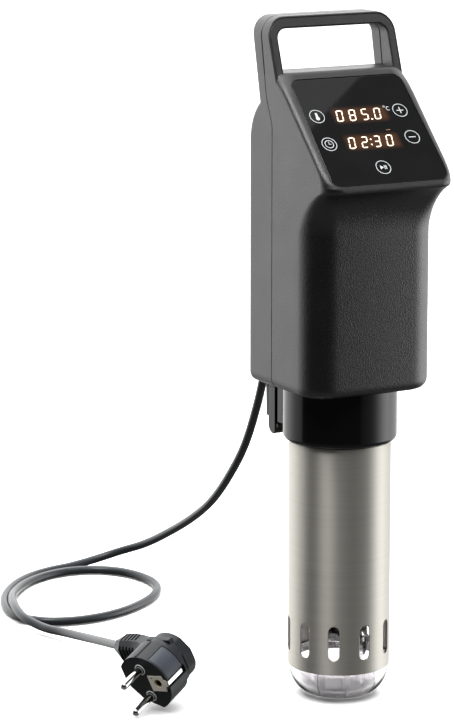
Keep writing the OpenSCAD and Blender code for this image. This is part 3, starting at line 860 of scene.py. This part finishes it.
def panel_loop():
    """The same number of points around the sector's panel."""
    w = radians(18) * TUBE_R
    low, high = PANEL_LOW - SLOT_Z, PANEL_HIGH - SLOT_Z
    side = [high - (high - low) * i / 16 for i in range(16)]
    left = [(-w, low + high - z) for z in side]
    across = [-w + 2 * w * i / 8 for i in range(8)]
    loop = left + [(x, high) for x in across] + [(w, z) for z in side]
    loop += [(-x, low) for x in across]
    # The loop starts two steps down the left side, as the slot's does at its upper arc.
    return loop[14:] + loop[:14]


def make_sleeve():
    verts, normals, faces = [], [], []

    def add(u, z, r, facing):
        """A point at arc length u on the tube, with a normal given in (u, z, out)."""
        a = u / TUBE_R
        out = Vector((cos(a), sin(a), 0))
        side = Vector((-sin(a), cos(a), 0))
        verts.append((r * out.x, r * out.y, z))
        way = side * facing[0] + Vector((0, 0, facing[1])) + out * facing[2]
        normals.append(way.normalized())
        return len(verts) - 1

    def join(rings):
        """Faces between each closed ring of points and the next."""
        for a, b in zip(rings, rings[1:]):
            for i in range(len(a)):
                k = (i + 1) % len(a)
                faces.append((a[i], a[k], b[k], b[i]))

    half = (SLOT_L - SLOT_W) / 2
    ways = [Vector((x, z - max(-half, min(half, z)))).normalized() for x, z in slot_loop(0)]
    edge, panel = slot_loop(.25), panel_loop()
    for s in range(10):
        middle = radians(-90 + 36 * s) * TUBE_R

        def flat(t, r, way):
            """A ring on the tube's face, a share t of the way from the slot to the panel."""
            return [add(middle - (a[0] + (b[0] - a[0]) * t), SLOT_Z + a[1] + (b[1] - a[1]) * t,
                        r, (0, 0, way)) for a, b in zip(edge, panel)]

        def wall(grow, r, way):
            """A ring on the slot's own wall."""
            return [add(middle - a[0], SLOT_Z + a[1], r, (d.x, -d.y, way))
                    for a, d in zip(slot_loop(grow), ways)]

        rings = [flat(t, TUBE_R, 1) for t in (1, .55, .25, 0)]
        rings += [wall(.08, TUBE_R - .05, .7), wall(0, TUBE_R - .22, 0),
                  wall(0, TUBE_IN + .2, 0), wall(.08, TUBE_IN + .05, -.7)]
        join(rings + [flat(t, TUBE_IN, -1) for t in (0, .5, 1)])
    # The plain tube under and over the slots, and its rims; columns match the panels.
    cols = 80
    around = [2 * pi * i / cols * TUBE_R + radians(-90 - 18) * TUBE_R for i in range(cols)]

    def hoop(z, r, up, out):
        return [add(u, z, r, (0, up, out)) for u in around]

    join([hoop(PANEL_LOW, TUBE_IN, 0, -1), hoop(RIM_Z + .3, TUBE_IN, 0, -1),
          hoop(RIM_Z + .05, TUBE_IN + .08, -1, -1), hoop(RIM_Z, TUBE_IN + .3, -1, 0),
          hoop(RIM_Z, TUBE_R - .3, -1, 0), hoop(RIM_Z + .05, TUBE_R - .08, -1, 1),
          hoop(RIM_Z + .3, TUBE_R, 0, 1), hoop(PANEL_LOW, TUBE_R, 0, 1)])
    join([hoop(PANEL_HIGH + 105.4 * i / 6, TUBE_R, 0, 1) for i in range(7)]
         + [hoop(158.4, TUBE_R - .4, 0, 1), hoop(TUBE_TOP, TUBE_R - .4, 0, 1)]
         + [hoop(TUBE_TOP - (TUBE_TOP - PANEL_HIGH) * i / 6, TUBE_IN, 0, -1) for i in range(7)])

    mesh = bpy.data.meshes.new("brushed_sleeve")
    mesh.from_pydata([Vector(v) * MM for v in verts], [], faces)
    mesh.validate()
    bm = bmesh.new()
    bm.from_mesh(mesh)
    bmesh.ops.remove_doubles(bm, verts=bm.verts, dist=.02 * MM)
    bmesh.ops.recalc_face_normals(bm, faces=bm.faces)
    bm.to_mesh(mesh)
    bm.free()
    mesh.shade_smooth()
    lookup = {tuple(round(c, 1) for c in v): n for v, n in zip(verts, normals)}
    smooth = [lookup.get(tuple(round(c / MM, 1) for c in v.co), v.normal) for v in mesh.vertices]
    mesh.normals_split_custom_set_from_vertices(smooth)
    obj = place("brushed_sleeve", mesh)
    piece(obj, "sleeve", "brushed_sleeve", "brushed_tube", "steel_sleeve", angle=None)


make_sleeve()


# ---------- end cap ----------

def make_cap():
    def dome(r, wide, z, high):
        """A quarter of an oval, from the wall to the foot."""
        turns = [radians(a) for a in range(0, 91, 5)]
        return [(r + wide * cos(a), z + high * (1 - sin(a))) for a in turns]

    profile = [(0, 0)] + dome(14.5, 16, 0, 18.8)[::-1]
    profile += [(30, 18.9), (30, 25.2), (29.7, 25.5), (28.5, 25.5), (28.2, 25.2)]
    profile += dome(12.5, 15.7, 2.4, 16.6) + [(0, 2.4)]
    cap = lathe("clear_cap", profile, 96, closed=False)
    piece(cap, "cap", "clear_plastic", "clear_cap", "end_cap", "foot_disc", angle=30)

    cup = lathe("cap_cup", [(15.3, 3.2), (16.9, 3.3), (16.9, 36.2), (16.7, 36.5), (15.5, 36.5),
                            (15.3, 36.2)], 72)
    piece(cup, "cap", "clear_plastic", "clear_cap", "inner_cup", angle=30)

    ribs = [prism("cap_rib", [(17.6, 4), (23.6, 5.6), (26.4, 11), (26.4, 19), (17.6, 21)],
                  -.45, .45, ALONG_Y) for _ in range(9)]
    for i, rib in enumerate(ribs):
        rib.data.transform(Matrix.Rotation(radians(40 * i + 12), 4, "Z"))
    piece(absorb(*ribs), "cap", "clear_plastic", "clear_cap", angle=30)


make_cap()


# ---------- collar ----------

PIVOT = (0, 47, 187)


def make_collar():
    r = 34.5
    profile = [(31.3, 159.2), (31.8, 158.5)] + arc(r - 4, 162.5, 4, -80, 0, 8)
    profile += [(r, 175), (r, 190), (r, 197), (29, 197), (27, 196), (27, 180), (31.3, 179),
                (31.3, 170)]
    ring = lathe("collar_ring", profile, 128)
    w, back = 22.5, 37.5
    block = prism("block", rounded([(-w, 22), (w, 22), (w, back), (-w, back)], [0, 0, 1.5, 1.5]),
                  163.5, 191.5)
    soften(block, .8, 3, 60)
    inside = rod("bore", 32.2, 150, 200, (0, 0, 0), Matrix.Identity(3), 128)
    recess = prism("recess", [(-17.2, 163.8), (17.2, 163.8), (17.2, 180.2), (-17.2, 180.2)],
                   36.7, 39, ALONG_Y)
    combine(block, inside, recess)
    ears = []
    for s in (-14, 14):
        outline = [(33, 182.8), *arc(*PIVOT[1:], 4.2, -90, 90, 12), (33, 191.2)]
        ear = prism("ear", outline, -2, 2, ALONG_X)
        combine(ear, rod("pin_bore", 2.02, -4, 4, PIVOT, ALONG_X))
        ear.data.transform(Matrix.Translation((s * MM, 0, 0)))
        ears.append(ear)
    absorb(ring, block, *ears)
    soften(ring, .25, 2, 50)
    piece(ring, "head", "collar_plastic", "collar_gloss", "collar", angle=32)


make_collar()


def make_clip_frame():
    """The moulded frame around the spring jaw, and the rim behind it."""
    jaw = prism("jaw", [(41.2, 184)] + arc(44.5, 158.6, 3.6, 200, 270, 6)
                + arc(44.2, 160.6, 5.4, 290, 360, 8) + [(49.6, 184)], -21.8, 21.8, ALONG_X)
    rim = prism("rim", [(50.6, 192)] + arc(51.4, 166.5, 1.4, 200, 330, 6) + [(53.6, 192)],
                -21.4, 21.4, ALONG_X)
    for part in (jaw, rim):
        window = prism("window", [(-17.6, 163.4), (17.6, 163.4), (17.6, 200), (-17.6, 200)],
                       30, 60, ALONG_Y)
        combine(part, window)
        soften(part, .5, 2, 50)
    piece(jaw, "clip", "black_plastic", "collar_gloss", angle=32)
    piece(rim, "clip", "clip_plastic", "clip_satin", angle=32)


make_clip_frame()


# ---------- lead and plug ----------

PLUG = (Matrix.Translation(Vector((-123, 18, 18.2)) * MM)
        @ Matrix.Rotation(radians(-155), 4, "Z")
        @ Matrix.Rotation(radians(22), 4, "Y")
        @ Matrix.Rotation(radians(-80), 4, "X"))
RIB_PITCH, PIN_Y = 2.9, 9.5


def clip_outline(points, cuts):
    """Cut a flat outline by half planes, each with its normal and its distance from 0."""
    for nx, ny, d in cuts:
        out = []
        for i, (x, y) in enumerate(points):
            px, py = points[i - 1]
            here, last = nx * x + ny * y - d, nx * px + ny * py - d
            if here * last < 0:
                t = last / (last - here)
                out.append((px + t * (x - px), py + t * (y - py)))
            if here <= 0:
                out.append((x, y))
        points = out
    return points


def block(name, low, high):
    outline = [(low[1], low[2]), (high[1], low[2]), (high[1], high[2]), (low[1], high[2])]
    return prism(name, outline, low[0], high[0], ALONG_X)


def relief_ring(z, mid, sx, sy):
    """One section of the bend protector: a rectangle with wide corners, in X and Y."""
    corners = [(mid + sx, -sy + 4), (mid + sx, sy - 3), (mid + sx - 4, sy), (mid - sx + 4, sy),
               (mid - sx, sy - 4), (mid - sx, -sy + 4), (mid - sx + 4, -sy), (mid + sx - 4, -sy)]
    return [(x, y, z) for x, y in rounded(corners, .9, 2)]


def disc(name, r, n, cuts, low, high):
    """A round plate across X, with flats where the half planes cut it."""
    return prism(name, clip_outline(circle(r, n), cuts), low, high, ALONG_X)


def plug_piece(obj, slot, material, *nodes, angle=35):
    obj.data.transform(PLUG)
    return piece(obj, "head", slot, material, *nodes, angle=angle)


def make_relief():
    """The ribbed bend protector behind the plug."""
    relief = loft("relief", [relief_ring(*ring) for ring in (
        (-6, -24.5, 7.4, 11), (-13, -26.5, 7.6, 10.4), (-20, -30.2, 7.8, 9.2),
        (-26, -33.8, 7.8, 8.4), (-34, -35.2, 8, 8.2), (-42.2, -35.4, 7.8, 7.8),
        (-43.2, -35.4, 7.3, 7.2), (-49.6, -36.8, 4.7, 4.7), (-50.9, -37, 4.2, 4.2))])
    even_shading(relief, 30).modifiers.clear()
    for i in range(5):
        z = -29.4 - RIB_PITCH * i
        low, high = z - .75, z + .75
        combine(relief, block("rib_front", (-29.2, -5.4, low), (-22, 3.8, high)),
                block("rib_side", (-39.5, -12, low), (-31.6, -6.8, high)),
                block("rib_low", (-39.5, 6.6, low), (-31.6, 12, high)))
    return relief


def make_moulding():
    """Body of the plug, with its recesses, waist and flange."""
    body = disc("plug_moulding", 18.6, 96, [(0, -1, 15), (.61, -.793, 12.75), (.92, -.393, 13.86)],
                -17.2, 0)
    soften(body, .7, 3, 50)
    panel = disc("panel", 23, 96, [(0, -1, -.8), (1, 0, -1.2)], -16, -1.4)
    core = disc("core", 18.1, 96, [(0, -1, 14), (.92, -.393, 13)], -30, 5)
    combine(panel, core)
    window = prism("window", [(-25, 8.6), (-14.2, 8.6), (-2.2, 16), (-2.2, 25), (-25, 25)],
                   -16, -1.4, ALONG_X)
    combine(panel, window, operation="INTERSECT")
    combine(body, panel, block("slot", (-17, -2.7, 16.6), (2, 2.7, 21)),
            block("slot", (-17, -2.7, -21), (2, 2.7, -13.6)),
            rod("seat", 3.0, -3, 2, (0, -PIN_Y, 0), ALONG_X),
            rod("seat", 3.0, -3, 2, (0, PIN_Y, 0), ALONG_X),
            block("plate_seat", (-.5, -5.5, 3.3), (2, 5.9, 17.2)),
            rod("socket_bore", 2.6, -18.5, 2, (0, 0, 10), ALONG_X))
    waist = disc("waist", 16.4, 72, [(0, -1, 13), (.92, -.393, 12), (0, 1, 14.4)], -23.4, -16.8)
    flange = disc("flange", 18.5, 96, [(0, 1, 9.8), (0, -1, 8.5), (-1, 0, 16), (1, 0, 6.5)],
                  -25.8, -21.6)
    back = disc("back", 15.6, 48, [(-.53, .848, 15), (0, 1, 15)], -31, -22.6)
    ridge = prism("ridge", [(-19.1, -.7), (-19.1, .9), (-17, 1.4), (-17, -1.2)],
                  -16.6, -.8, ALONG_X)
    absorb(body, soften(waist, .5), soften(flange, 1.0, 3, 50), soften(back, 2.2, 3, 50),
           make_relief(), soften(ridge, .25, 2, 30))
    return plug_piece(body, "plug_plastic", "plug_pvc", "plug_body", angle=32)


def make_contacts():
    """The two earth strips, on the rounded side and the flat side of the plug."""
    strips = []
    for sign, top in ((-1, 14.8), (1, 18.2)):
        strip = [(-1.7, top - .9), (-1.5, top - .35), (-.7, top), (.7, top), (1.5, top - .35),
                 (1.7, top - .9)]
        if sign < 0:
            strip = [(y, -z) for y, z in reversed(strip)]
        strips.append(soften(prism("plug_contacts", strip, -14.6, -.1, ALONG_X), .2, 2, 30))
    return plug_piece(absorb(*strips), "plug_metal", "pin_chrome", "plug_earth_clips")


def make_plug():
    """Moulded plug with the pins along +X, one above the other in Y, and the lead along -Z."""
    body = make_moulding()
    grip = disc("plug_grip", 18.15, 96, [(0, -1, -8.7), (1, 0, -2.3), (.53, -.848, -12)],
                -15.9, -1.5)
    combine(grip, prism("inner", circle(17.7, 96), -30, 5, ALONG_X))
    plug_piece(grip, "plug_plastic", "plug_recess_painted_sheen", angle=32)
    contacts = make_contacts()

    plate = prism("plug_earth_face", rounded([(-5.3, 3.5), (5.7, 3.5), (5.7, 14.6), (2.4, 15.1),
                                              (2.2, 17), (-2.2, 17), (-2.4, 15.1), (-5.3, 14.6)],
                                             .35, 2), -.45, .25, ALONG_X)
    combine(plate, rod("bore", 2.75, -2, 2, (0, 0, 10), ALONG_X),
            rod("dot", .75, -2, 2, (0, -3.4, 6.0), ALONG_X, 16))
    plug_piece(soften(plate, .1, 1, 60), "plug_metal", "earth_plate")

    rings = []
    for y in (-PIN_Y, PIN_Y):
        ring = lathe("plug_pin_rings", [(3.0, -.6), (3.75, -.6), (3.75, .2), (3.55, .42),
                                        (3.15, .42), (3.0, .2)], 40)
        ring.data.transform(Matrix.Translation(Vector((0, y, 0)) * MM) @ ALONG_X.to_4x4())
        rings.append(ring)
    rings = plug_piece(absorb(*rings), "plug_plastic", "ring_plastic")
    return [body, grip, contacts, plate, rings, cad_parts["plug_pins"],
            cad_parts["plug_earth_socket"]]


def make_lead():
    lead = make_cord()
    piece(lead, "head", "cord_jacket", "cord_pvc", "mains_cord", angle=None)
    plug = make_plug()


make_lead()


# ---------- finishes of the CAD nodes that stay ----------

KEPT = {
    "rubber": "display_gasket shaft_seal base_gasket fixed_jaw_pad clip_jaw_pad",
    "circuit_board": "display_board main_board",
    "digit_module": "temperature_display time_display",
    "spring_steel": "touch_springs clip_spring",
    # The impeller and lower bush are black to darken the inside of the slots: painted shade.
    "black_moulding": "buzzer triac shaft_coupling impeller lower_bush",
    "relay_case": "relay",
    "capacitor_case": "filter_capacitor",
    "heatsink_aluminium": "heatsink rotor",
    "terminal_green": "terminal_block",
    "laminated_steel": "motor_stator",
    "coil_tape": "motor_coil",
    "plated_steel": "motor_brackets motor_screws impeller_nut base_plate collar_screws clip_pin "
                    "housing_screws",
    "sintered_bronze": "motor_bearings",
    "shaft_steel": "motor_shaft drive_shaft shaft_tube temperature_probe level_probes",
    "white_moulding": "cooling_fan cord_clamp",
    "heater_tube": "heating_element",
    "terminal_brass": "heater_terminals plug_earth_socket",
    "clip_satin": "sleeve_ring",
    "collar_gloss": "clip_lever",
    "plug_pvc": "strain_relief",
    "pin_chrome": "plug_pins",
}


def dress_nodes():
    for material, names in KEPT.items():
        for name in names.split():
            dress(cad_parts[name], material, 30)


dress_nodes()


# ---------- studio ----------

# Brightness of the surroundings by azimuth: below and above the horizon, and overhead.
HORIZON = [(0, 2.7), (25, 1.6), (60, 2.4), (100, 1.7), (121, 1.65), (136, 1.15), (150, .9),
           (156, .85), (158, .07), (280, .07), (286, .2), (303, .36), (315, .8), (325, 2.3),
           (337, 3.9), (350, 3.9), (360, 2.7)]
UPPER = [(0, 2.7), (25, 1.6), (60, 2.4), (100, 2.6), (121, 2.6), (136, 1.6), (150, 1.2),
         (156, 1.1), (158, .02), (278, .02), (286, .2), (297, .3), (306, .5), (315, 1.4),
         (325, 2.3), (337, 3.9), (350, 3.9), (360, 2.7)]
OVERHEAD = [(0, .5), (20, 2.5), (45, 4), (90, 3), (150, 1), (165, .3), (232, .3), (250, 1.4),
            (266, .6), (290, 1), (312, .9), (325, .05), (350, .05), (360, .5)]
BELOW = .2
BRIGHTEST = 10


def make_world():
    world = bpy.data.worlds.new("studio")
    scene.world = world
    world.use_nodes = True
    tree = world.node_tree
    tree.nodes.clear()
    place = add_node(tree, "TexCoord")
    x, y, z = add_node(tree, "SeparateXYZ", {0: place.outputs["Generated"]}).outputs
    turn = maths(tree, "FRACT", maths(tree, "DIVIDE", maths(tree, "ARCTAN2", y, x), 2 * pi))

    def ring(levels):
        """Brightness by azimuth, from a list of degrees and values."""
        ramp = add_node(tree, "ValToRGB", {"Fac": turn})
        stops = ramp.color_ramp.elements
        while len(stops) < len(levels):
            stops.new(.5)
        for stop, (azimuth, value) in zip(stops, levels):
            stop.position = azimuth / 360
            stop.color = (*grey(value / BRIGHTEST), 1)
        return maths(tree, "MULTIPLY", ramp.outputs["Color"], BRIGHTEST)

    def times(a, b):
        return maths(tree, "MULTIPLY", a, b)

    def plus(a, b):
        return maths(tree, "ADD", a, b)

    up, down = smooth_step(tree, z, .34, .57), smooth_step(tree, z, -.34, -.57)
    head = smooth_step(tree, z, -.27, -.08)
    band = plus(times(ring(HORIZON), maths(tree, "SUBTRACT", 1, head)), times(ring(UPPER), head))
    side = maths(tree, "SUBTRACT", maths(tree, "SUBTRACT", 1, up), down)
    light = plus(times(band, side), plus(times(up, ring(OVERHEAD)), times(down, BELOW)))
    rays = add_node(tree, "LightPath")
    seen = maths(tree, "MAXIMUM", light, times(rays.outputs["Is Camera Ray"], 1.2))
    background = add_node(tree, "Background", {"Strength": seen})
    add_node(tree, "OutputWorld", {"Surface": background.outputs[0]})


def area_light(name, centre, aim, size, radiance, glossy, turn=0.0):
    data = bpy.data.lights.new(name, "AREA")
    data.shape = "SQUARE"
    data.size = size
    data.energy = radiance * pi * size * size
    obj = place(name, data)
    obj.location = centre
    obj.rotation_mode = "QUATERNION"
    face = (Vector(aim) - Vector(centre)).to_track_quat("-Z", "Y")
    obj.rotation_quaternion = Quaternion((0, 0, 1), radians(turn)) @ face
    obj.visible_glossy = glossy
    obj.visible_camera = False
    return obj


def make_floor():
    s = 3000
    floor = make_mesh("floor", [(-s, -s, 0), (s, -s, 0), (s, s, 0), (-s, s, 0)], [(0, 1, 2, 3)])
    floor.location.z = -.0004
    tree, shader = new_material("floor_paper")
    slow = noise(tree, coordinates(tree), 2, 2)
    feed(tree, shader, {"Base Color": colours(tree, slow, grey(.88), grey(.9)), "Roughness": 1,
                        "Specular IOR Level": 0})
    floor.data.materials.append(MATERIALS["floor_paper"])
    floor.visible_glossy = False
    floor.visible_diffuse = False


make_world()
make_floor()
area_light("overhead", (0, 0, 3.2), (0, 0, 0), 5, 5, False)
key = area_light("key_panel", (-.83, -.3, 1.69), (0, -.03, .35), .7, 11, True)
key.visible_diffuse = False
area_light("panel_light", (.14, .30, 1.3), (.14, .30, 0), 1.2, .55, True, turn=41)
